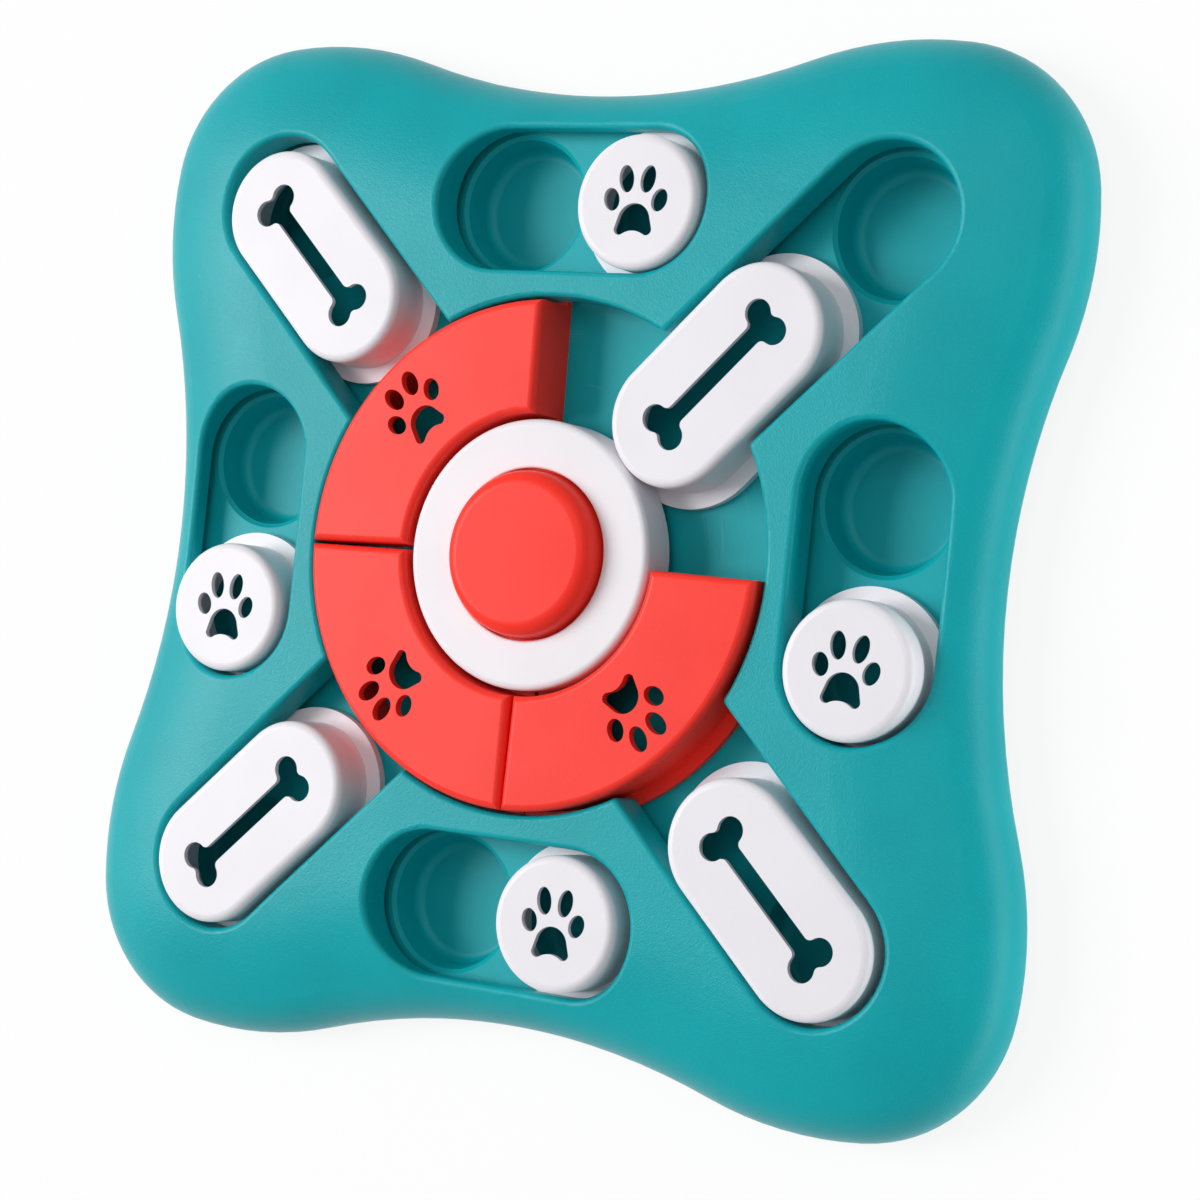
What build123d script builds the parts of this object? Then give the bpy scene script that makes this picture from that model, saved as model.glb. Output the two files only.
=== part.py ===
from build123d import *
from math import asin, atan2, cos, degrees, hypot, radians, sin, sqrt
import os

os.makedirs("parts", exist_ok=True)

# Dog puzzle feeder toy, in mm. +Z is up, +Y is the back and +X is the right. The origin lies in the
# middle of the underside, level with the bottom of the rubber feet.

# ---- body outline in plan: four round corners, joined by hollow sides ----
corner_radius = 37.1        # of the tip arc
tip_angle = 37.9            # the tip arc reaches this far to each side of the diagonal, in degrees
flank_radius = 87.0         # of the flatter arcs on each side of a tip
waist = 111.1               # half width across the middle of a side
corner_step = 24.7          # centre of a corner's tip arc, nearer to both middle planes than the waist
core_margin = 1.0           # the swept rim reaches this near to a corner's centre, and the core laps it
# ---- body in height ----
foot_height = 1.0           # the feet hold the rim this far off the floor
cover_top = 24.2
widest = 6.0                # height where the outline is at its widest
shoulder = 34.0             # the rim falls away from the flat top over this width
edge_radius = 14.0          # of the lower, tighter arc of the rim
tuck = 7.0                  # the underside curls in by this much
wall = 2.2                  # shell of the cover
seam_height = 3.0           # the cover meets the tray here, under the widest line
seam_gap = 0.15
deck_top = 12.0             # the sliders run on this level
deck_thickness = 2.0
deck_gap = 0.5              # play between the deck's edge and the inside of the cover
tray_wall = 2.0
tray_wall_inset = 7.2       # the tray's standing wall, in from the outline
# ---- openings in the cover ----
opening_radius = 60.6       # round opening in the middle
slot_half_width = 17.2      # every slot, at its wall
corner_slot_reach = 131.5   # end of a corner slot, measured along its diagonal
side_slot_offset = 83.75    # middle line of a side slot, from the middle plane
side_slot_half_length = 36.0
skirt_wall = 2.0            # wall that hangs round every opening
skirt_gap = 0.5             # between a flange and the skirt above it
edge_round = 1.3            # rounding of the openings' top edges
nose_round = 1.0            # rounding in plan where a slot meets the round opening
# ---- treat wells in the tray ----
well_depth = 8.4
well_rim_radius = 16.2
well_floor_radius = 14.6
well_wall = 1.8
side_well_end_gap = 1.3     # from a side well's rim to the end of its slot
corner_well_end_gap = 1.5   # the same in a corner slot
corner_well_extra = 0.3     # a corner well is this much wider
well_rim_round = 0.8
well_flare_overlap = 0.1    # the flare of a well's rim starts this far inside its wall
well_floor_round = 2.5
# ---- what all the sliders share ----
flange_thickness = 2.2
flange_lap = 2.0            # a flange reaches this far under the sides of its slot
slider_wall = 2.2
slider_top = 1.3            # the top plate of the white sliders; the arc ones keep slider_wall
# ---- round paw sliders ----
paw_slot_gap = 1.4          # between the slider and each side of its slot
paw_end_gap = 0.95          # left at the end of the slot when the slider is right up to it
paw_rise = 1.8              # top of the slider above the flat of the cover
paw_round = 1.9
# each toe of its print: sideways place, height, half width, half height and lean in degrees
round_toes = ((2.8, 5.1, 1.9, 3.2, 9.5), (6.2, 0.3, 2.0, 2.7, 17.0))
round_heel = (-0.5, -7.9, 4.9, 1.4)     # its heel: top, bottom, half width and lobe radius
heel_shoulder_out = 0.8     # where a heel's crown ends, as a share of the half width
heel_shoulder_drop = 0.36   # and as a share of the height, down from the top
heel_hollow = 0.75          # height of the arch between the lobes, as a share of the lobe radius
# ---- bone sliders ----
bone_slot_gap = 1.7         # between the slider and each side of its slot
bone_end_gap = 1.6          # left at the end of the slot when the slider is right out
bone_hub_gap = 0.3          # between the flange and the ring's collar when the slider is right in
bone_half_straight = 14.6
bone_rise = 2.2
bone_round = 1.9
bone_print_half_length = 20.2
bone_bar_half_width = 2.2
knuckle_radius = 3.2
knuckle_spread = 2.9        # knuckle centres, to each side of the bar's middle
neck_round = 1.5            # where the bar meets a knuckle
notch_round = 1.4           # between the two knuckles of an end
# ---- arc sliders ----
arc_inner_gap = 1.3         # between the slider and the ring
arc_outer_gap = 1.0         # between the slider and the round opening
arc_flange_inner_gap = 0.4  # between the flange and the ring's collar
arc_rise = 2.5
arc_round = 1.6
arc_end_gap = 0.88          # the ends lie this far inside a true quarter
arc_print_band = 26.6       # its print is drawn for a slider this wide, and grows and shrinks with it
# each toe: angle from the middle, distance from the slider's inner side, half width, half height, lean
arc_toes = ((3.1, 19.6, 2.1, 3.1, 8.0), (7.5, 14.7, 2.1, 2.7, 16.0))
arc_heel = (0.0, -7.4, 4.8, 1.4)
arc_heel_distance = 13.4    # from the slider's inner side to the heel's top
# ---- hub, ring and button ----
hub_step = 0.8              # the hub's wall stands in from the ring's collar by this much
chamber_step = 0.7          # the hub's chamber is narrower than the button's lip by this much
ring_brim = 3.7             # the ring reaches past its collar by this much
ring_rise = 1.4
ring_wall = 2.5
ring_plate = 2.2
ring_round = 1.5
collar_wall = 6.2           # of the collar, which carries the screws
button_radius = 19.0        # at its top
button_base_radius = 19.8
button_gap = 0.4            # between button and ring
bore_round = 0.5            # of the ring's edge round the button
button_rise = 6.6
button_round = 3.4
button_wall = 2.0
button_travel = 4.0
button_lip = 1.7            # the lip that keeps the button in the ring
lip_thickness = 1.5
lip_play = 0.3
lip_stop_gap = 0.1          # left under the lip when the button is right down
# ---- squeaker ----
reed_radius = 3.6
reed_flange_radius = 5.5
reed_flange_thickness = 1.0
reed_bore_radius = 1.0
reed_gap = 0.1              # round the reed in its hole
reed_tail = 1.0             # the reed sticks out under the deck by this much
bulb_radius = 13.0
bulb_waist_radius = 10.5
bulb_wall = 1.2
bulb_fold_pitch = 4.2       # height of one fold, as nearly as whole folds fill the bulb
plunger_radius = 7.0
plunger_drop = 3.0          # from the button's inside down to the bulb
# ---- screws and feet ----
boss_radius = 3.8
case_screw_spots = ((100.0, 62.0), (62.0, 100.0))   # repeated in all four quarters
shank_radius = 1.4
head_radius = 2.9
head_height = 2.0
hole_gap = 0.2              # round a shank where it passes through
pilot_gap = 0.04            # round a shank where it bites
bite_length = 8.0
pilot_extra = 0.5           # a pilot hole is this much deeper than its screw
hub_screw_inset = 3.3       # from the outside of the collar
hub_screw_angles = (90, 210, 330)
hub_shank_radius = 1.2
hub_bite = 4.6
recess_half_width = 0.45    # cross recess in a screw head
recess_half_length = 1.6
recess_depth = 1.1
foot_radius = 9.0
foot_chamfer = 0.5
# ---- where the sliders stand, each with its own play in its slot ----
# round ones: distance short of the slot's front or right end, sideways shift, turn
paw_stand = {"back": (0.0, -0.9, 0.0), "right": (0.0, -0.3, -5.0),
             "front": (1.95, -0.1, 0.0), "left": (0.05, 0.0, 0.0)}
# bone sliders: 1 for the outer end of the slot or -1 for the inner, distance short of it, sideways
# shift, turn
bone_stand = {"back_right": (-1, 0.0, -0.25, 2.0), "back_left": (1, 2.9, 0.5, 0.5),
              "front_left": (1, 0.0, 0.3, -0.5), "front_right": (1, 0.0, -0.7, 1.0)}
arc_middles = {"back_left": 136.65, "front_left": 225.75, "front_right": 314.45}   # degrees

# ---- values that follow from the ones above ----
rim_bottom = foot_height
corner_offset = waist - corner_step
flank_start = 45 + tip_angle
flank_x = corner_offset + (corner_radius - flank_radius) * cos(radians(flank_start))
flank_y = corner_offset + (corner_radius - flank_radius) * sin(radians(flank_start))
flank_reach = waist - flank_y
side_radius = (flank_x**2 + flank_reach**2 - flank_radius**2) / (2 * (flank_radius - flank_reach))
side_centre = waist + side_radius
side_angle = degrees(asin(flank_x / (side_radius + flank_radius)))
crown_radius = ((shoulder - edge_radius)**2 / (cover_top - widest - edge_radius)
                + cover_top - widest + edge_radius) / 2
flange_top = deck_top + flange_thickness
skirt_bottom = flange_top + skirt_gap
deck_bottom = deck_top - deck_thickness
well_floor = deck_top - well_depth
well_bottom = well_floor - well_wall
lip_radius = button_base_radius + button_lip
collar_bore = lip_radius + lip_play
collar_radius = collar_bore + collar_wall
ring_radius = collar_radius + ring_brim
hub_radius = collar_radius - hub_step
hub_chamber_radius = lip_radius - chamber_step
hub_screw_circle = collar_radius - hub_screw_inset
slot_end_distance = corner_slot_reach - slot_half_width
paw_radius = slot_half_width - paw_slot_gap
bone_radius = slot_half_width - bone_slot_gap
flange_radius = slot_half_width + flange_lap
arc_inner_radius = ring_radius + arc_inner_gap
arc_outer_radius = opening_radius - arc_outer_gap
arc_flange_inner = collar_radius + arc_flange_inner_gap
arc_flange_outer = opening_radius + flange_lap
paw_reach = side_slot_half_length - paw_radius - paw_end_gap
bone_reach_out = corner_slot_reach - bone_half_straight - bone_radius - bone_end_gap
bone_reach_in = collar_radius + bone_hub_gap + flange_radius + bone_half_straight
side_well_offset = side_slot_half_length - side_well_end_gap - well_rim_radius
corner_well_distance = corner_slot_reach - corner_well_end_gap - well_rim_radius - corner_well_extra
side_slot_straight = side_slot_half_length - slot_half_width
ring_top = cover_top + ring_rise
plate_bottom = ring_top - ring_plate
hub_top = plate_bottom - lip_thickness - button_travel - lip_stop_gap
button_top = cover_top + button_rise
plunger_bottom = button_top - button_wall - plunger_drop
reed_top = deck_top + reed_flange_thickness
bulb_folds = max(1, round((plunger_bottom - reed_top) / bulb_fold_pitch))
below = -5.0                # cutters start here, under everything
above = 60.0                # and end here, over everything


# One quarter of the outline as arcs: centre x and y, radius, first angle, sweep, and 1 where the body
# lies inside the arc or -1 where it lies outside.
flank_sweep = 90 + side_angle - flank_start
outline_arcs = [
    (corner_offset, corner_offset, corner_radius, 45 - tip_angle, 2 * tip_angle, 1),
    (flank_x, flank_y, flank_radius, flank_start, flank_sweep, 1),
    (0, side_centre, side_radius, 270 - side_angle, 2 * side_angle, -1),
    (flank_y, flank_x, flank_radius, -side_angle, flank_sweep, 1),
]


def outline(inset=0.0):
    """The body's outline in plan, moved inwards by inset."""
    arcs = [CenterArc((x, y), radius - side * inset, first, sweep)
            for x, y, radius, first, sweep, side in outline_arcs]
    return make_face([Rot(0, 0, 90 * k) * arc for k in range(4) for arc in arcs])


def prism(face, bottom, top):
    return Pos(0, 0, bottom) * extrude(face, top - bottom)


def cone(bottom_radius, top_radius, bottom, top):
    standing = (Align.CENTER, Align.CENTER, Align.MIN)
    return Pos(0, 0, bottom) * Cone(bottom_radius, top_radius, top - bottom, align=standing)


def rim_section(inset, core, bottom, tucked):
    """Section through the rim: x runs inwards from the outline, y is height."""
    top = cover_top - inset
    crown = crown_radius - inset
    edge = edge_radius - inset
    lean = degrees(atan2(widest - cover_top + crown_radius, edge_radius - shoulder))
    arcs = [
        CenterArc((shoulder, cover_top - crown_radius), crown, 90, lean - 90),
        CenterArc((edge_radius, widest), edge, lean, 180 - lean),
    ]
    if tucked:
        foot_x = tuck
        arcs.append(EllipticalCenterArc((tuck, widest), tuck - inset, widest - bottom, 180, arc_size=90))
    else:
        foot_x = inset
        arcs.append(Line((inset, widest), (inset, bottom)))
    inner_sides = Polyline((foot_x, bottom), (core, bottom), (core, top), (shoulder, top))
    return make_face(arcs + list(inner_sides.edges()))


def pillow(inset, bottom, tucked):
    """The domed body moved inwards by inset: one rim section swept along every arc of the outline."""
    core = corner_radius - core_margin
    section = rim_section(inset, core, bottom, tucked)
    solid = prism(outline(core - core_margin), bottom, cover_top - inset)
    for x, y, radius, first, sweep, side in outline_arcs:
        placed = mirror(section, about=Plane.YZ) if side > 0 else section
        upright = Plane(origin=(x, y, 0), x_dir=(1, 0, 0), z_dir=(0, -1, 0))
        axis = Axis((x, y, 0), (0, 0, 1))
        stretch = revolve(upright * (Pos(radius, 0, 0) * placed), axis, revolution_arc=sweep)
        stretch = stretch.rotate(axis, first)
        for k in range(4):
            solid = solid + Rot(0, 0, 90 * k) * stretch
    return solid


def on_diagonal(quarter, distance):
    """A place on the diagonal of quarter 0 (back right) to 3, turned to look outwards."""
    return Rot(0, 0, 45 + 90 * quarter) * Pos(distance, 0, 0)


def main_opening(extra=0.0):
    """The round opening with its four corner slots, grown by extra."""
    face = Circle(opening_radius + extra)
    for k in range(4):
        slot = SlotCenterToCenter(slot_end_distance, 2 * (slot_half_width + extra))
        face = face + on_diagonal(k, slot_end_distance / 2) * slot
    return face


def side_opening(k, extra=0.0):
    """The closed slot of side k, counted from the right and round to the left, grown by extra."""
    slot = SlotCenterToCenter(2 * side_slot_straight, 2 * (slot_half_width + extra))
    return Rot(0, 0, 90 * k) * Pos(side_slot_offset, 0, 0) * Rot(0, 0, 90) * slot


def rounded_opening():
    """The middle opening with the noses between circle and slots rounded."""
    face = main_opening()
    noses = [v for v in face.vertices() if abs(hypot(v.X, v.Y) - opening_radius) < 0.5]
    return fillet(noses, nose_round)


def openings_all():
    return [rounded_opening()] + [side_opening(k) for k in range(4)]


def rim_edges(solid, faces):
    """Edges of solid that run along the outlines of faces, at the top of their walls."""
    wires = [face.wire() for face in faces]
    found = []
    for edge in solid.edges():
        middle = edge @ 0.5
        upright = abs((edge % 0.5).Z) > 0.9
        foot = Vector(middle.X, middle.Y, 0)
        on_wall = min(wire.distance_to(foot) for wire in wires) < 0.01
        if on_wall and middle.Z > skirt_bottom and not upright:
            found.append(edge)
    return found


def case_spots():
    """Where the eight case screws stand."""
    return [(sx * x, sy * y) for x, y in case_screw_spots for sx in (1, -1) for sy in (1, -1)]


def top_cover():
    openings = openings_all()
    shell = pillow(0, rim_bottom, True)
    for face in openings:
        shell = shell - prism(face, below, above)
    shell = fillet(rim_edges(shell, openings), edge_round)
    hollow = pillow(wall, below, False)
    skirts = [main_opening(skirt_wall)] + [side_opening(k, skirt_wall) for k in range(4)]
    for face in skirts:
        hollow = hollow - prism(face, skirt_bottom, above)
    for x, y in case_spots():
        hollow = hollow - prism(Pos(x, y) * Circle(boss_radius), deck_top, above)
    shell = shell - hollow - prism(Rectangle(above * 6, above * 6), below, seam_height)
    for x, y in case_spots():
        pilot = Pos(x, y) * Circle(shank_radius + pilot_gap)
        shell = shell - prism(pilot, below, deck_top + bite_length + pilot_extra)
    return shell


def well(extra=0.0):
    """Cup and hollow of one well, standing on the middle of the deck."""
    rim = well_rim_radius + extra
    floor = well_floor_radius + extra
    cup = cone(floor + well_wall, rim + well_wall, well_bottom, deck_top)
    hollow = cone(floor, rim, well_floor, deck_top)
    hollow = fillet(hollow.edges().sort_by(Axis.Z)[0], well_floor_round)
    flare = cone(rim - well_flare_overlap, rim + well_rim_round, deck_top - well_rim_round, deck_top)
    return cup, hollow + flare


def well_places():
    """Place and widening of the twelve wells: two in each side slot and one in each corner."""
    places = []
    for k in range(4):
        for along in (-side_well_offset, side_well_offset):
            places.append((Rot(0, 0, 90 * k) * Pos(side_slot_offset, along, 0), 0.0))
        places.append((on_diagonal(k, corner_well_distance), corner_well_extra))
    return places


def cover_inset(height):
    """How far the inside of the cover lies in from the outline, at a height on the rim's lower arc."""
    return edge_radius - sqrt((edge_radius - wall)**2 - (height - widest)**2)


def base_tray():
    deck_inset = cover_inset(deck_top) + deck_gap
    tray = prism(outline(deck_inset), deck_bottom, deck_top)
    inside = outline(tray_wall_inset + tray_wall)
    tray = tray + prism(outline(tray_wall_inset) - inside, rim_bottom, deck_bottom)
    rim = pillow(0, rim_bottom, True) - prism(inside, below, above)
    rim = rim - prism(Rectangle(above * 6, above * 6), seam_height - seam_gap, above)
    tray = tray + rim
    wells = [(place, *well(extra)) for place, extra in well_places()]
    for place, cup, hollow in wells:
        tray = tray + place * cup
    for place, cup, hollow in wells:
        tray = tray - place * hollow
    tray = tray + prism(Circle(hub_radius), deck_bottom, hub_top)
    tray = tray - prism(Circle(hub_chamber_radius), deck_top, above)
    tray = tray - prism(Circle(reed_radius + reed_gap), below, above)
    for x, y in case_spots():
        tray = tray - prism(Pos(x, y) * Circle(shank_radius + hole_gap), below, above)
    for x, y in hub_spots():
        tray = tray - prism(Pos(x, y) * Circle(hub_shank_radius + hole_gap), below, above)
    return tray


def cap(face_at, bottom, top, rounding, plate):
    """A hollow cap, open below, with a top plate. face_at(inset) gives its plan, moved inwards by inset."""
    body = prism(face_at(0.0), bottom, top)
    body = fillet(body.faces().sort_by(Axis.Z)[-1].edges(), rounding)
    return body - prism(face_at(slider_wall), below, top - plate)


def toe(x, y, half_width, half_height, lean):
    """One toe of a paw print."""
    return Pos(x, y) * Rot(0, 0, -lean) * Ellipse(half_width, half_height)


def round_paw():
    """Paw print of a round slider, toes towards +Y, about the middle of the slider."""
    prints = []
    for x, y, half_width, half_height, lean in round_toes:
        prints.append(toe(x, y, half_width, half_height, lean))
        prints.append(toe(-x, y, half_width, half_height, -lean))
    prints.append(heel(*round_heel))
    return prints


def heel(top, bottom, half_width, lobe_radius):
    """Heel of a paw print: domed on top, with a lobe at each lower corner and an arch between them."""
    lobe_x = half_width - lobe_radius
    lobe_y = bottom + lobe_radius
    crown_end = (heel_shoulder_out * half_width, top - heel_shoulder_drop * (top - bottom))
    arch_top = bottom + heel_hollow * lobe_radius
    drop = lobe_y - arch_top
    arch_radius = (lobe_x**2 + drop**2 - lobe_radius**2) / (2 * (lobe_radius - drop))
    arch_y = arch_top - arch_radius
    sweep = degrees(atan2(lobe_y - arch_y, lobe_x))
    right = [
        TangentArc((0, top), crown_end, tangent=(1, 0)),
        Line(crown_end, (half_width, lobe_y)),
        CenterArc((lobe_x, lobe_y), lobe_radius, 0, sweep - 180),
    ]
    left = [mirror(edge, about=Plane.YZ) for edge in right]
    arch = CenterArc((0, arch_y), arch_radius, sweep, 180 - 2 * sweep)
    return make_face(right + left + [arch])


def bone_print():
    """Bone figure along X, about the middle of the slider: a bar with two round knuckles at each end."""
    knuckle_x = bone_print_half_length - knuckle_radius
    face = Rectangle(2 * knuckle_x, 2 * bone_bar_half_width)
    for sx in (1, -1):
        for sy in (1, -1):
            face = face + Pos(sx * knuckle_x, sy * knuckle_spread) * Circle(knuckle_radius)
    necks = [v for v in face.vertices() if abs(v.X) < knuckle_x and abs(v.Y) > 0.1]
    face = fillet(necks, neck_round)
    notches = [v for v in face.vertices() if abs(v.Y) < 0.1]
    return fillet(notches, notch_round)


def arc_paw(middle):
    """Paw print of an arc slider: toes outwards, placed at the angle middle."""
    prints = []
    size = (arc_outer_radius - arc_inner_radius) / arc_print_band
    for turn, distance, half_width, half_height, lean in arc_toes:
        out = arc_inner_radius + size * distance
        for sign in (1, -1):
            pad = Rot(0, 0, -90) * toe(0, 0, size * half_width, size * half_height, sign * lean)
            prints.append(Rot(0, 0, middle - sign * turn) * Pos(out, 0) * pad)
    pad = Rot(0, 0, -90) * heel(*[size * value for value in arc_heel])
    prints.append(Rot(0, 0, middle) * Pos(arc_inner_radius + size * arc_heel_distance, 0) * pad)
    return prints


def pierce(body, faces):
    for face in faces:
        body = body - prism(face, below, above)
    return body


def round_face(radius, half_straight, inset=0.0):
    """A circle, or an oblong along X when half_straight is given."""
    if half_straight:
        return SlotCenterToCenter(2 * half_straight, 2 * (radius - inset))
    return Circle(radius - inset)


def slider(radius, half_straight, top, rounding, prints):
    """A straight-running slider about its own middle: flange, hollow cap and the figure cut through it."""
    body = cap(lambda inset: round_face(radius, half_straight, inset), deck_top, top, rounding, slider_top)
    flange = round_face(flange_radius, half_straight) - round_face(radius - slider_wall, half_straight)
    return pierce(body + prism(flange, deck_top, flange_top), prints)


def paw_slider(turn):
    prints = [Rot(0, 0, turn) * face for face in round_paw()]
    return slider(paw_radius, 0, cover_top + paw_rise, paw_round, prints)


def bone_slider():
    return slider(bone_radius, bone_half_straight, cover_top + bone_rise, bone_round, [bone_print()])


def arc_face(inner, outer, inset=0.0):
    """A quarter-round band about the hub, centred on the X axis, with straight ends."""
    low = inner + inset
    high = outer - inset
    gap = arc_end_gap + inset
    corners = []
    for radius in (low, high):
        angle = radians(45) - asin(gap / radius)
        corners.append((radius * cos(angle), radius * sin(angle)))
    (ax, ay), (bx, by) = corners
    return make_face([
        ThreePointArc((ax, -ay), (low, 0), (ax, ay)),
        Line((ax, ay), (bx, by)),
        ThreePointArc((bx, by), (high, 0), (bx, -by)),
        Line((bx, -by), (ax, -ay)),
    ])


def arc_slider(middle):
    body = cap(lambda inset: arc_face(arc_inner_radius, arc_outer_radius, inset),
               deck_top, cover_top + arc_rise, arc_round, slider_wall)
    hollow = arc_face(arc_inner_radius, arc_outer_radius, slider_wall)
    flange = arc_face(arc_flange_inner, arc_flange_outer) - hollow
    body = body + prism(flange, deck_top, flange_top)
    return pierce(Rot(0, 0, middle) * body, arc_paw(middle))


def hub_spots():
    """Where the three hub screws stand."""
    angles = [radians(a) for a in hub_screw_angles]
    return [(hub_screw_circle * cos(a), hub_screw_circle * sin(a)) for a in angles]


def hub_ring():
    ring = prism(Circle(ring_radius), skirt_bottom, ring_top)
    ring = fillet(ring.faces().sort_by(Axis.Z)[-1].edges(), ring_round)
    ring = ring - prism(Circle(ring_radius - ring_wall), below, plate_bottom)
    ring = ring + prism(Circle(collar_radius) - Circle(collar_bore), hub_top, plate_bottom)
    bore = prism(Circle(button_base_radius + button_gap), below, above)
    ring = ring - bore
    top_circles = ring.edges().filter_by(GeomType.CIRCLE).group_by(Axis.Z)[-1]
    ring = fillet(top_circles.sort_by(SortBy.RADIUS)[0], bore_round)
    for x, y in hub_spots():
        pilot = Pos(x, y) * Circle(hub_shank_radius + pilot_gap)
        ring = ring - prism(pilot, below, hub_top + hub_bite + pilot_extra)
    return ring


def squeaker_button():
    lip_top = plate_bottom
    skirt = cone(button_base_radius, button_radius, lip_top, button_top)
    body = fillet(skirt.edges().sort_by(Axis.Z)[-1], button_round)
    body = body + prism(Circle(lip_radius), lip_top - lip_thickness, lip_top)
    inside = prism(Circle(button_radius - button_wall), below, button_top - button_wall)
    inside = fillet(inside.edges().sort_by(Axis.Z)[-1], button_round - button_wall / 2)
    body = body - inside
    return body + prism(Circle(plunger_radius), plunger_bottom, button_top - button_wall / 2)


def bellows(offset):
    """Half section of the bulb's folds, moved inwards by offset: points from bottom to top."""
    bottom = reed_top + offset
    top = plunger_bottom - offset
    points = [(0, bottom), (bulb_waist_radius - offset, bottom)]
    step = (top - bottom) / (2 * bulb_folds)
    for k in range(1, 2 * bulb_folds):
        radius = bulb_radius if k % 2 else bulb_waist_radius
        points.append((radius - offset, bottom + step * k))
    points += [(bulb_waist_radius - offset, top), (0, top)]
    return points


def squeaker_bulb():
    skin = revolve(Plane.XZ * make_face(Polyline(*bellows(0.0), close=True)), Axis.Z)
    air = revolve(Plane.XZ * make_face(Polyline(*bellows(bulb_wall), close=True)), Axis.Z)
    return skin - air - prism(Circle(reed_bore_radius), below, reed_top + bulb_wall + 1)


def squeaker_reed():
    reed = prism(Circle(reed_radius), deck_bottom - reed_tail, deck_top)
    reed = reed + prism(Circle(reed_flange_radius), deck_top, reed_top)
    return reed - prism(Circle(reed_bore_radius), below, above)


def screw(x, y, radius, head, head_top, tip):
    """One screw, put in from below: round head, plain shank and a cross recess in the head."""
    body = prism(Circle(head), head_top - head_height, head_top) + prism(Circle(radius), head_top, tip)
    cross = Rectangle(2 * recess_half_length, 2 * recess_half_width)
    cross = cross + Rectangle(2 * recess_half_width, 2 * recess_half_length)
    bottom = head_top - head_height
    return Pos(x, y, 0) * (body - prism(cross, bottom, bottom + recess_depth))


def case_screws():
    tip = deck_top + bite_length
    return Compound([screw(x, y, shank_radius, head_radius, deck_bottom, tip) for x, y in case_spots()])


def hub_screws():
    tip = hub_top + hub_bite
    return Compound([screw(x, y, hub_shank_radius, head_radius, deck_bottom, tip) for x, y in hub_spots()])


def foot(quarter):
    pad = prism(Circle(foot_radius), 0, well_bottom)
    pad = chamfer(pad.faces().sort_by(Axis.Z)[0].edges(), foot_chamfer)
    return on_diagonal(quarter, corner_well_distance) * pad


parts = {
    "top_cover": top_cover(),
    "base_tray": base_tray(),
    "hub_ring": hub_ring(),
    "squeaker_button": squeaker_button(),
    "squeaker_bulb": squeaker_bulb(),
    "squeaker_reed": squeaker_reed(),
    "case_screws": case_screws(),
    "hub_screws": hub_screws(),
}

# the print always points to the back, so only the slider's place turns with its side
paw_places = {
    "back": lambda along, across: (along, side_slot_offset + across),
    "right": lambda along, across: (side_slot_offset + across, -along),
    "front": lambda along, across: (along, -side_slot_offset + across),
    "left": lambda along, across: (-side_slot_offset + across, -along),
}
for side_name, (short_of_end, across, turn) in paw_stand.items():
    x, y = paw_places[side_name](paw_reach - short_of_end, across)
    parts["paw_slider_" + side_name] = Pos(x, y, 0) * paw_slider(turn)

quarters = ["back_right", "back_left", "front_left", "front_right"]
for quarter, corner_name in enumerate(quarters):
    end, short_of_end, across, turn = bone_stand[corner_name]
    distance = (bone_reach_out if end > 0 else bone_reach_in) - end * short_of_end
    place = on_diagonal(quarter, distance) * Pos(0, across, 0) * Rot(0, 0, turn)
    parts["bone_slider_" + corner_name] = place * bone_slider()
    parts["foot_" + corner_name] = foot(quarter)

for corner_name, middle in arc_middles.items():
    parts["arc_slider_" + corner_name] = arc_slider(middle)

for name, solid in parts.items():
    export_step(solid, "parts/" + name + ".step")
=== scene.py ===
# %% [markdown]
# Dog puzzle feeder toy
#
# A square, pillow-shaped feeder for a dog. A teal case has twelve round treat wells in it. White round
# sliders, white oblong ones and red quarter-round ones cover the wells, and a red squeaker button
# stands in a white ring in the middle. The shapes come ready from the CAD frame, one object for each
# moulded piece, so this lesson is mostly about finishes: moulded plastics, two rubbers and steel.

# %% Load the frame
import math

import bmesh
import bpy
from mathutils import Euler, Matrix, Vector


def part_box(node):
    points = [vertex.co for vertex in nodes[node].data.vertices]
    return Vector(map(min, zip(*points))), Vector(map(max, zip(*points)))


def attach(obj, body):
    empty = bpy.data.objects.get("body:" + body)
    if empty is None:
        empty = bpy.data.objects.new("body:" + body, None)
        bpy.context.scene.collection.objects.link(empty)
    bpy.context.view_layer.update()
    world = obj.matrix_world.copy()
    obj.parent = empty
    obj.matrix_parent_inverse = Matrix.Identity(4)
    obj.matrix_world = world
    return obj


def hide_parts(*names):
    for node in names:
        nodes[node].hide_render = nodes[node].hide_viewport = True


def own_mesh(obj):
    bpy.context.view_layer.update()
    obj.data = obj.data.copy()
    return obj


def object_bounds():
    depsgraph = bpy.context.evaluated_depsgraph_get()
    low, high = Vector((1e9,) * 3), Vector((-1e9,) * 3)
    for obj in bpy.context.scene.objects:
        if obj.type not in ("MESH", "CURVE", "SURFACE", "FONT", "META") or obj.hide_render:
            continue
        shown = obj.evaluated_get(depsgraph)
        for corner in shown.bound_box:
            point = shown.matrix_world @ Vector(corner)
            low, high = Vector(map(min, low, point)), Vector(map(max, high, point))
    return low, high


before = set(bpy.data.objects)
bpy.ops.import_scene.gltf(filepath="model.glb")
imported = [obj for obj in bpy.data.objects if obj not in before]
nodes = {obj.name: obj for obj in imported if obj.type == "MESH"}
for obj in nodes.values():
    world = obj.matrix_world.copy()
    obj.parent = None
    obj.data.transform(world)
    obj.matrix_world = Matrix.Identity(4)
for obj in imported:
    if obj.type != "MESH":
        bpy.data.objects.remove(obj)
cad_box = [list(corner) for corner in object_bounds()]

# %% [markdown]
# Millimetres are handier than metres at this size. Everything in Blender stays in metres, so a small
# factor turns one into the other wherever a length is written down.

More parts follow.
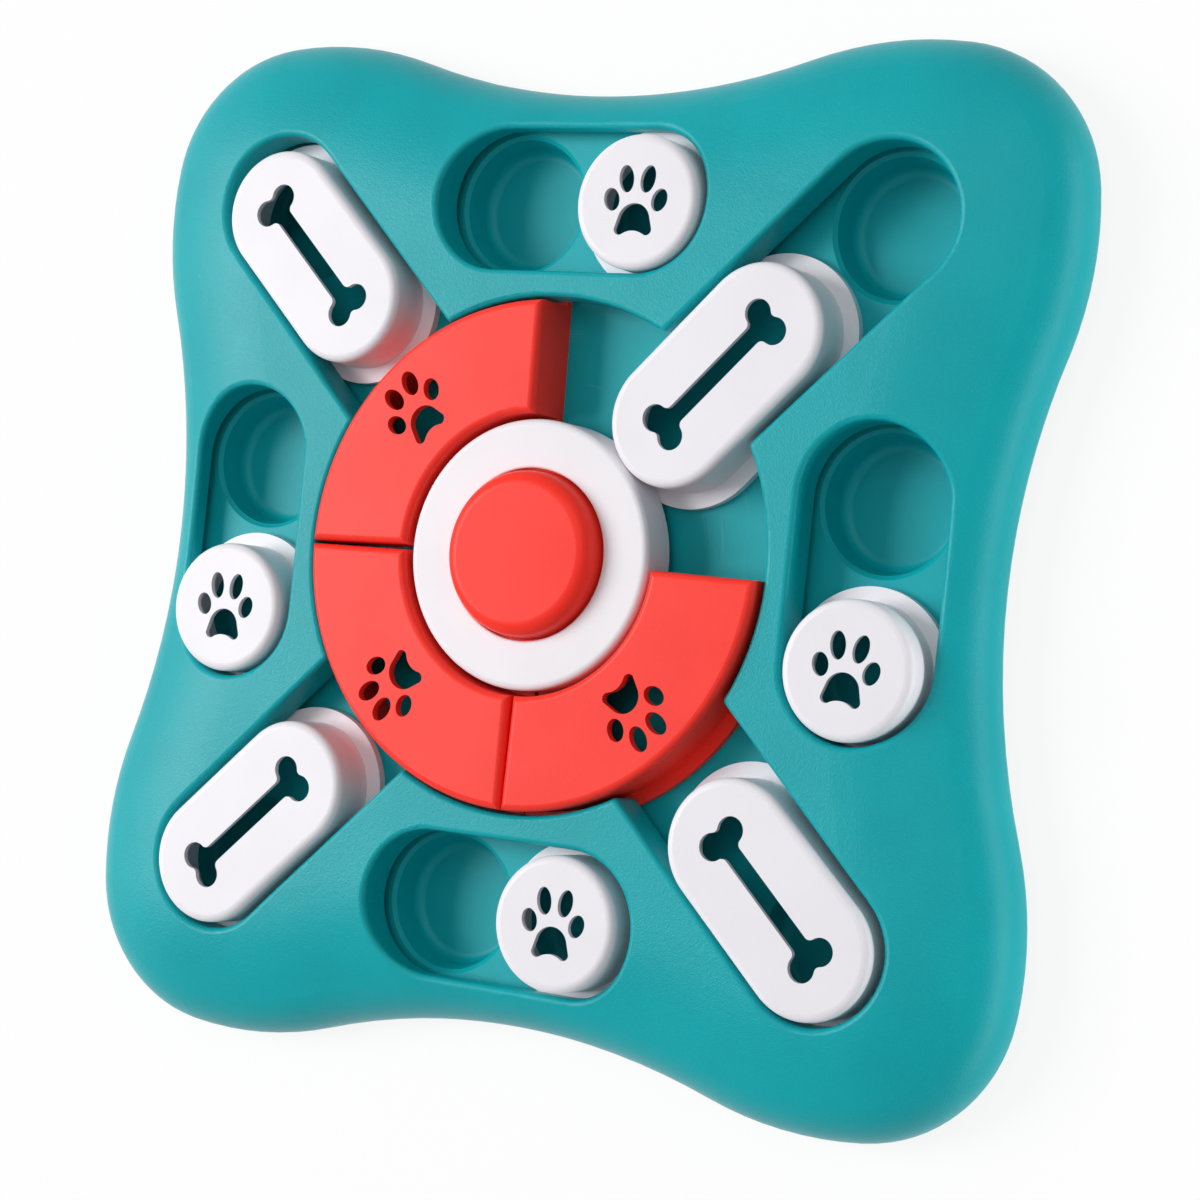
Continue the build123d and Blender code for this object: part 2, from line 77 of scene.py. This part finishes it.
# %% Lengths
MM = 0.001
low, high = (Vector(corner) for corner in cad_box)
print("case", [round(side / MM, 1) for side in high - low], "mm")

# %% [markdown]
# The camera looks down on the toy from its right side, steeply, through a fairly long lens. A long lens
# keeps the square from looking stretched. The camera is set up first, so that every picture
# afterwards shows the same view.

# %% Camera
CAMERA_PLACE = (0.34195, -0.02110, 0.60612)
CAMERA_TURN = (4.3119, 28.6845, 6.7690)
LENS_LENGTH = 87.13
SENSOR_WIDTH = 36.0

camera = bpy.data.objects.new("camera", bpy.data.cameras.new("camera"))
bpy.context.scene.collection.objects.link(camera)
camera.location = CAMERA_PLACE
camera.rotation_euler = Euler([math.radians(turn) for turn in CAMERA_TURN])
camera.data.lens = LENS_LENGTH
camera.data.sensor_width = SENSOR_WIDTH
camera.data.clip_start = 10 * MM
bpy.context.scene.camera = camera
print("camera", round((camera.location - (low + high) / 2).length, 3), "m from the middle")

# %% [markdown]
# Procedural finishes are sums over noise patterns, and such a sum is easier to read as a Python
# expression than as a pile of nodes. Field wraps one socket of a node tree. Adding or multiplying two
# of them adds the Math node that does it and gives back the socket that comes out. The reflected forms
# let a plain number stand first, as in 1 - mask.

# %% A socket that does arithmetic


class Field:
    def __init__(self, tree, socket):
        self.tree = tree
        self.socket = socket

    def math(self, operation, *others):
        values = dict(enumerate((self, *others)))
        return self.tree.add("ShaderNodeMath", {"operation": operation}, values)

    def __add__(self, other):
        return self.math("ADD", other)

    def __mul__(self, other):
        return self.math("MULTIPLY", other)

    def __sub__(self, other):
        return self.math("SUBTRACT", other)

    def __rsub__(self, other):
        return self.tree.add("ShaderNodeMath", {"operation": "SUBTRACT"}, {0: other, 1: self})

    __radd__ = __add__
    __rmul__ = __mul__

    def clamp(self):
        settings = {"operation": "ADD", "use_clamp": True}
        return self.tree.add("ShaderNodeMath", settings, {0: self, 1: 0.0})

    def above(self, start, full):
        """0 up to start, 1 from full on, and a smooth climb between them."""
        settings = {"interpolation_type": "SMOOTHSTEP"}
        values = {"Value": self, "From Min": start, "From Max": full}
        return self.tree.add("ShaderNodeMapRange", settings, values)


print("a field also has", [name for name in vars(Field) if not name.startswith("_")])

# %% [markdown]
# Materials and the world are both node trees. One method adds all their nodes: it takes the type, the
# settings and whatever goes into the sockets, be it a number, a colour or another field. The settings
# come first, because some of them change which sockets a node has.

# %% A node tree


class Tree:
    def __init__(self, tree):
        self.nodes = tree.nodes
        self.links = tree.links

    def feed(self, socket, value):
        if isinstance(value, Field):
            self.links.new(value.socket, socket)
        else:
            socket.default_value = value

    def add(self, kind, settings, values, out=0):
        node = self.nodes.new(kind)
        for name, value in settings.items():
            setattr(node, name, value)
        for key, value in values.items():
            self.feed(node.inputs[key], value)
        return Field(self, node.outputs[out])


print("a tree has", [name for name in vars(Tree) if not name.startswith("_")])

# %% [markdown]
# Every finish is one material with one Principled shader, and the Finish class holds the patterns that
# the finishes share. The patterns are noise on object coordinates, which don't slide when a piece moves.

# %% A finish


class Finish(Tree):
    def __init__(self, name):
        self.material = bpy.data.materials.new(name)
        self.material.use_nodes = True
        super().__init__(self.material.node_tree)
        self.shader = self.nodes["Principled BSDF"]
        self.place = self.add("ShaderNodeTexCoord", {}, {}, out="Object")

    def noise(self, across, detail=2.0, roughness=0.5, stretch=None):
        """Noise from 0 to 1 whose grains are about this many millimetres across."""
        place = self.place
        if stretch:
            settings = {"vector_type": "POINT"}
            place = self.add("ShaderNodeMapping", settings, {"Vector": place, "Scale": stretch})
        values = {"Vector": place, "Scale": 1 / (across * MM), "Detail": detail,
                  "Roughness": roughness}
        return self.add("ShaderNodeTexNoise", {}, values)

    def mix(self, share, first, second):
        """A colour between two others. A Mix node names its sockets alike, so they go by number."""
        values = {0: share, 6: first, 7: second}
        return self.add("ShaderNodeMix", {"data_type": "RGBA"}, values, out=2)

    def bump(self, height, depth):
        """A bump whose full height is depth millimetres."""
        return self.add("ShaderNodeBump", {}, {"Height": height, "Distance": depth * MM,
                                               "Strength": 1.0})

    def surface(self, **sockets):
        """The finished material. A name such as Base_Color stands for the socket Base Color."""
        for name, value in sockets.items():
            self.feed(self.shader.inputs[name.replace("_", " ")], value)
        return self.material


print("a finish has", [name for name in vars(Finish) if not name.startswith("_")])

# %% [markdown]
# A pigment is easiest to write as a screen shows it, with red, green and blue from 0 to 255. Shaders
# reckon in linear light, so each number goes through the screen's own curve, once, in one place.

# %% Colours


def colour(red, green, blue):
    """A colour written in screen values from 0 to 255, as Blender's linear values."""
    linear = []
    for value in (red, green, blue):
        share = value / 255
        linear.append(share / 12.92 if share <= 0.04045 else ((share + 0.055) / 1.055) ** 2.4)
    return (*linear, 1.0)


TEAL = (0, 164, 172)
TEAL_SHADE = (0, 159, 167)
print("the case's teal in the shader:", [round(share, 3) for share in colour(*TEAL)])

# %% [markdown]
# The teal case is moulded in a spark-eroded tool. Its skin is a fine, even grain, under half a
# millimetre across, that breaks the light into a soft sheen. The pigment isn't mixed quite evenly
# either: there are wide, faint clouds in it, and the tops of the grains look a little paler. As geometry
# this would take millions of faces, so a bump does it. All the plastic pieces share this finish, with
# their own colours and their own depth of grain.

# %% Moulded plastic
CLOUD_WIDTH = 24.0  # this and the next two are millimetres
GRAIN_WIDTH = 0.42
PORE_WIDTH = 1.3
PORE_SHARE = 0.2
GRAIN_ROUGHENS = 0.14
CLOUD_ROUGHENS = 0.06


class Plastic(Finish):
    """A plastic of two pigments, body and shade. The tops of its grain turn towards the tip's."""

    def __init__(self, name, body, shade, tip, tip_share):
        super().__init__(name)
        self.cloud = self.noise(CLOUD_WIDTH, detail=3.0)
        self.grain = self.noise(GRAIN_WIDTH, detail=2.5, roughness=0.62)
        self.pores = self.noise(PORE_WIDTH)
        self.skin = self.mix(self.cloud.above(0.35, 0.68), colour(*body), colour(*shade))
        tips = self.grain.above(0.5, 0.75) * tip_share
        self.skin = self.mix(tips, self.skin, colour(*tip))

    def finished(self, gloss, grain_depth, shine):
        rough = gloss + (self.grain - 0.5) * GRAIN_ROUGHENS + (self.cloud - 0.5) * CLOUD_ROUGHENS
        return self.surface(
            Base_Color=self.skin,
            Roughness=rough.clamp(),
            Specular_IOR_Level=shine,
            Normal=self.bump(self.grain + self.pores * PORE_SHARE, grain_depth),
        )


teal = Plastic("teal_case_plastic", TEAL, TEAL_SHADE, tip=(40, 178, 186), tip_share=0.3)
teal_skin = teal.finished(gloss=0.33, grain_depth=0.10, shine=0.19)
print("case plastic:", teal_skin.name)

# %% [markdown]
# The white and the red sliders come out of smoother tools than the case, so their grain is a fifth as
# deep or less and hardly shows. The white isn't pure: it leans a little towards violet and stays under
# the brightest that a screen can show, which leaves room for the light on it.

# %% Slider plastics
white = Plastic("white_slider_plastic", (238, 236, 241), (235, 233, 238), tip=(244, 242, 247),
                tip_share=0.4)
white_skin = white.finished(gloss=0.36, grain_depth=0.016, shine=0.24)
red = Plastic("red_slider_plastic", (254, 57, 44), (250, 53, 41), tip=(255, 72, 59), tip_share=0.4)
red_skin = red.finished(gloss=0.38, grain_depth=0.02, shine=0.20)
print("slider plastics:", white_skin.name, red_skin.name)

# %% [markdown]
# The button is nearly the same red, moulded in a finer tool. Its rounded edge faces the lamps from all
# sides and would show a hard glint, and less shine keeps that soft.

# %% Button plastic
button = Plastic("red_button_plastic", (254, 54, 40), (250, 50, 37), tip=(255, 67, 54), tip_share=0.4)
button_skin = button.finished(gloss=0.36, grain_depth=0.012, shine=0.16)
print("button plastic:", button_skin.name)

# %% [markdown]
# The tray is the same teal from a smoother part of the tool, so it has less sheen and less grain. The
# quarter-round sliders run round on its deck and leave faint circular scuffs. To draw them, the place
# of a point is turned into its distance from the hub and its angle about it. Noise that is fine along
# the first and coarse along the second makes long thin arcs, which a mask keeps to the sliders' track.

# %% Tray plastic
TRACK_INNER = 34.0 * MM
TRACK_OUTER = 61.0 * MM
TRACK_FADE = 3.0 * MM
DECK = 12.0 * MM
DECK_FADE = (1.0 * MM, 0.2 * MM)  # below the deck
SCUFFS_OUTWARDS = 1400.0  # waves of noise in a metre
SCUFFS_ROUND = 1.6  # waves of noise in a radian
SCUFF_SHARE = 0.3


def hub_place(finish):
    """Distance from the hub, angle about it and height, of every point."""
    place = {"Vector": finish.place}
    along, across, height = (finish.add("ShaderNodeSeparateXYZ", {}, place, out=axis)
                             for axis in "XYZ")
    distance = (along * along + across * across).math("SQRT")
    return distance, across.math("ARCTAN2", along), height


def tray_plastic(name):
    tray = Plastic(name, TEAL, TEAL_SHADE, tip=(34, 174, 182), tip_share=0.2)
    distance, angle, height = hub_place(tray)
    swept = tray.add("ShaderNodeCombineXYZ", {}, {"X": distance * SCUFFS_OUTWARDS,
                                                  "Y": angle * SCUFFS_ROUND, "Z": 0.0})
    arcs = tray.add("ShaderNodeTexNoise", {}, {"Vector": swept, "Scale": 1.0, "Detail": 1.5})
    scuff = arcs.above(0.6, 0.74)
    track = distance.above(TRACK_INNER, TRACK_INNER + TRACK_FADE)
    track = track - distance.above(TRACK_OUTER - TRACK_FADE, TRACK_OUTER)
    patches = tray.noise(14.0).above(0.42, 0.62)
    on_deck = height.above(*(DECK - fade for fade in DECK_FADE))
    worn = (scuff * track * patches * on_deck).clamp()
    tray.skin = tray.mix(worn * SCUFF_SHARE, tray.skin, colour(110, 190, 196))
    return tray.finished(gloss=0.42, grain_depth=0.014, shine=0.18)


teal_inside = tray_plastic("teal_tray_plastic")
print("tray plastic:", teal_inside.name)

# %% [markdown]
# Rubber is nearly without shine and has a dusty bloom: where the noise is high the surface is a little
# paler, rougher and higher. The squeaker's bulb is cream rubber and the feet are nearly black.

# %% Rubber
RUBBER_ROUGHNESS = 0.68
DUST_ROUGHENS = 0.12
DUST_SHARE = 0.5


def rubber(name, body, bloom, grain_depth):
    finish = Finish(name)
    dust = finish.noise(3.5, detail=4.0).above(0.45, 0.75)
    grain = finish.noise(0.3)
    return finish.surface(
        Base_Color=finish.mix(dust, colour(*body), colour(*bloom)),
        Roughness=(dust * DUST_ROUGHENS + RUBBER_ROUGHNESS).clamp(),
        Specular_IOR_Level=0.35,
        Normal=finish.bump(grain + dust * DUST_SHARE, grain_depth),
    )


foot_rubber = rubber("foot_rubber", (40, 41, 44), (64, 65, 68), grain_depth=0.03)
bulb_rubber = rubber("bulb_rubber", (228, 222, 208), (238, 234, 224), grain_depth=0.02)
print("rubbers:", foot_rubber.name, bulb_rubber.name)

# %% [markdown]
# The screws are zinc-plated steel. Turning on the lathe leaves fine rings, so one noise is squeezed
# along the screw's axis, and plating leaves soft blotches. Both show best in the roughness, because a
# metal's look is mostly what it reflects.

# %% Plated steel
LATHE_SQUEEZE = (1.0, 1.0, 6.0)
STEEL_ROUGHNESS = 0.18
BLOTCH_ROUGHENS = 0.2
RING_ROUGHENS = 0.12


def plated_steel(name):
    finish = Finish(name)
    blotch = finish.noise(1.6, detail=4.0)
    rings = finish.noise(0.25, detail=3.0, stretch=LATHE_SQUEEZE)
    rough = blotch * BLOTCH_ROUGHENS + rings * RING_ROUGHENS + STEEL_ROUGHNESS
    return finish.surface(
        Base_Color=finish.mix(blotch, colour(176, 178, 182), colour(204, 205, 206)),
        Metallic=1.0,
        Roughness=rough.clamp(),
        Normal=finish.bump(rings, 0.01),
    )


screw_steel = plated_steel("screw_steel")
print("steel:", screw_steel.name)

# %% [markdown]
# The reed, the small whistle that makes the squeak, is a disc of pale grey plastic. That is harder and
# glossier than the rest and has hardly any grain, so the same class does it with other numbers.

# %% Reed plastic
reed = Plastic("reed_plastic", (214, 216, 216), (205, 208, 208), tip=(228, 228, 228), tip_share=0.3)
reed_skin = reed.finished(gloss=0.3, grain_depth=0.006, shine=0.5)
print("reed:", reed_skin.name)

# %% [markdown]
# Most CAD pieces already have the real shape. Such a piece keeps it, and only the material in its slot
# is swapped for its finish. The sliders of one kind share one finish.

# %% Hand out the finishes
QUARTERS = ("back_right", "back_left", "front_left", "front_right")
SIDES = ("back", "right", "front", "left")
EMPTY_QUARTER = "back_right"

finishes = {
    "top_cover": teal_skin,
    "base_tray": teal_inside,
    "hub_ring": white_skin,
    "squeaker_button": button_skin,
    "squeaker_reed": reed_skin,
    "case_screws": screw_steel,
    "hub_screws": screw_steel,
}
for side in SIDES:
    finishes["paw_slider_" + side] = white_skin
for quarter in QUARTERS:
    finishes["bone_slider_" + quarter] = white_skin
    if quarter != EMPTY_QUARTER:
        finishes["arc_slider_" + quarter] = red_skin
for name, material in finishes.items():
    nodes[name].data.materials.clear()
    nodes[name].data.materials.append(material)
print("finishes handed out to", len(finishes), "pieces")

# %% [markdown]
# Round pieces are drawn as half a section and spun round the upright axis. The first and the last step
# of a full spin meet, so they are merged, as are the points that sit on the axis.

# %% Spinning a section
MERGE = 0.01 * MM


def spun_shell(points, steps):
    """A section of (radius, height) points spun round the upright axis."""
    mesh = bmesh.new()
    line = [mesh.verts.new((radius, 0, height)) for radius, height in points]
    edges = [mesh.edges.new(pair) for pair in zip(line, line[1:])]
    bmesh.ops.spin(mesh, geom=line + edges, cent=(0, 0, 0), axis=(0, 0, 1), angle=math.tau,
                   steps=steps, use_merge=True)
    bmesh.ops.remove_doubles(mesh, verts=mesh.verts, dist=MERGE)
    bmesh.ops.recalc_face_normals(mesh, faces=mesh.faces)
    return mesh


def make_piece(name, mesh, material, smooth=True):
    data = bpy.data.meshes.new(name)
    mesh.to_mesh(data)
    mesh.free()
    data.materials.append(material)
    for face in data.polygons:
        face.use_smooth = smooth
    piece = bpy.data.objects.new(name, data)
    bpy.context.scene.collection.objects.link(piece)
    return piece


print("points nearer than", round(MERGE / MM, 3), "mm are merged")

# %% [markdown]
# The squeaker's bulb is a soft rubber bellows between the hub and the button, with a small bore at the
# bottom for the reed. Its CAD stand-in has folds with sharp ridges. Real folds are rounded, so here the
# half section is a wave. The bellows takes the height of its CAD stand-in.

# %% Squeaker bulb
FOLDS = 3
FOLD_STEPS = 12
FOLD_DEPTH = 2.5 * MM
WALL = 1.2 * MM
BORE = 1.0 * MM
BULB_STEPS = 72

bulb_low, bulb_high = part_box("squeaker_bulb")
bulb_height = bulb_high.z - bulb_low.z


def bellows_section():
    """Points of the half section from the bore at the bottom to the axis at the top."""
    outer = bulb_high.x
    waist = outer - FOLD_DEPTH
    points = [(BORE, bulb_low.z), (waist - 2 * WALL, bulb_low.z)]
    for step in range(FOLDS * FOLD_STEPS + 1):
        share = step / (FOLDS * FOLD_STEPS)
        wave = 0.5 - 0.5 * math.cos(share * FOLDS * math.tau)
        rise = WALL / 2 + share * (bulb_height - WALL)
        points.append((waist - WALL / 2 + wave * (outer - waist), bulb_low.z + rise))
    return points + [(waist - 2 * WALL, bulb_high.z), (0.0, bulb_high.z)]


bulb = make_piece("bulb_bellows", spun_shell(bellows_section(), BULB_STEPS), bulb_rubber)
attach(bulb, "base")
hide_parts("squeaker_bulb")
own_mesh(bulb)
print("bulb", len(bulb.data.polygons), "faces,", round(bulb_height / MM, 1), "mm high")

# %% [markdown]
# Each foot is a rubber pad with three shallow rings moulded into its sole, which grip the floor. The
# pad is spun from its section, the grooves included, and stands in the place of the plain CAD disc. Its
# faces stay flat, so that the edges of the grooves are crisp.

# %% Rubber feet
GROOVES = (2.2 * MM, 4.4 * MM, 6.6 * MM)
GROOVE_HALF = 0.45 * MM
GROOVE_DEPTH = 0.5 * MM
SOLE_ROUND = 0.5 * MM
ROUND_MIDDLE = 0.3 * SOLE_ROUND
FOOT_STEPS = 64


def foot_section(radius, height):
    points = [(0.0, 0.0)]
    for middle in GROOVES:
        points += [(middle - GROOVE_HALF, 0.0), (middle - GROOVE_HALF / 2, GROOVE_DEPTH),
                   (middle + GROOVE_HALF / 2, GROOVE_DEPTH), (middle + GROOVE_HALF, 0.0)]
    points += [(radius - SOLE_ROUND, 0.0), (radius - ROUND_MIDDLE, ROUND_MIDDLE),
               (radius, SOLE_ROUND), (radius, height), (0.0, height)]
    return points


for quarter in QUARTERS:
    foot_low, foot_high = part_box("foot_" + quarter)
    section = foot_section((foot_high.x - foot_low.x) / 2, foot_high.z)
    mesh = spun_shell(section, FOOT_STEPS)
    middle = (foot_low + foot_high) / 2
    bmesh.ops.translate(mesh, verts=mesh.verts, vec=(middle.x, middle.y, 0))
    pad = make_piece("ribbed_foot_" + quarter, mesh, foot_rubber, smooth=False)
    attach(pad, "base")
    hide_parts("foot_" + quarter)
print("feet", len(QUARTERS), "pads of", round(foot_high.z / MM, 1), "mm")

# %% [markdown]
# The toy lies on a wide, plain, nearly white floor, which catches a soft shadow. One big square is
# enough for it, since it is flat and runs out of the picture on all sides.

# %% Floor
FLOOR_HALF = 6.0
FLOOR_WHITE = (0.92, 0.92, 0.92, 1.0)

floor_finish = Finish("floor_paint")
floor_paint = floor_finish.surface(Base_Color=FLOOR_WHITE, Roughness=0.9, Specular_IOR_Level=0.0)
floor_mesh = bmesh.new()
bmesh.ops.create_grid(floor_mesh, x_segments=1, y_segments=1, size=FLOOR_HALF)
floor = make_piece("floor", floor_mesh, floor_paint, smooth=False)
print("floor", floor.dimensions.x, "m wide")

# %% [markdown]
# A studio turns its floor white with more light, but that much light here would bleach the toy. So the
# floor gets a plain white glow that only the camera, mirrors and glass see, and the soft light that
# bounces from it onto the toy stays as it was. A little of the paint still shows through, and with it
# the shadow.

# %% White for the eye only
FLOOR_GLOW = 0.88


def in_sight(tree):
    """1 for what the camera, mirrors and glass see, and 0 for the light that falls on the toy."""
    rays = ("Is Camera Ray", "Is Glossy Ray", "Is Transmission Ray")
    camera_ray, glossy_ray, glass_ray = (tree.add("ShaderNodeLightPath", {}, {}, out=ray)
                                         for ray in rays)
    return (camera_ray + glossy_ray + glass_ray).clamp()


def show_white(finish, amount):
    glow = finish.add("ShaderNodeEmission", {}, {"Color": (1, 1, 1, 1), "Strength": 1.0})
    paint = Field(finish, finish.shader.outputs[0])
    share = in_sight(finish) * amount
    both = finish.add("ShaderNodeMixShader", {}, {0: share, 1: paint, 2: glow})
    finish.links.new(both.socket, finish.nodes["Material Output"].inputs[0])


show_white(floor_finish, FLOOR_GLOW)
print("the floor's glow takes", FLOOR_GLOW, "of what is seen of it")

# %% [markdown]
# The lamps are a studio's: a large soft box at the left, whose sheen lies on the slopes that lean
# towards it, a weak one above and behind that opens up the wells, and a long, dim strip low on the
# right that draws a pale edge along that side. Big lamps give soft shadows, as on matt plastic.

# %% Lamps


def soft_box(name, place, size, watts):
    """A rectangular lamp that looks at the middle of the toy."""
    lamp = bpy.data.lights.new(name, "AREA")
    lamp.shape = "RECTANGLE"
    lamp.size, lamp.size_y = size
    lamp.energy = watts
    box = bpy.data.objects.new(name, lamp)
    bpy.context.scene.collection.objects.link(box)
    box.location = place
    box.rotation_euler = (-Vector(place)).to_track_quat("-Z", "Y").to_euler()


soft_box("key", place=(-1.95, 0.15, 1.88), size=(1.3, 1.3), watts=59.0)
soft_box("top", place=(0.25, 0.70, 2.00), size=(1.2, 1.2), watts=6.5)
soft_box("edge", place=(0.24, -0.01, 0.010), size=(0.42, 0.014), watts=0.20)

# %% [markdown]
# The room adds an even, weaker light from all round. What the camera, mirrors and glass see of it is
# plain white, so that a low view has no grey sky over the floor.

# %% World
WORLD_LIGHT = 0.31

world = bpy.data.worlds.new("studio")
bpy.context.scene.world = world
world.use_nodes = True
sky = Tree(world.node_tree)
background = sky.nodes["Background"]
sky.feed(background.inputs["Color"], (1.0, 1.0, 1.0, 1.0))
sky.feed(background.inputs["Strength"], in_sight(sky) * (1.0 - WORLD_LIGHT) + WORLD_LIGHT)
bpy.context.scene.view_settings.view_transform = "Standard"
print("room light", WORLD_LIGHT)
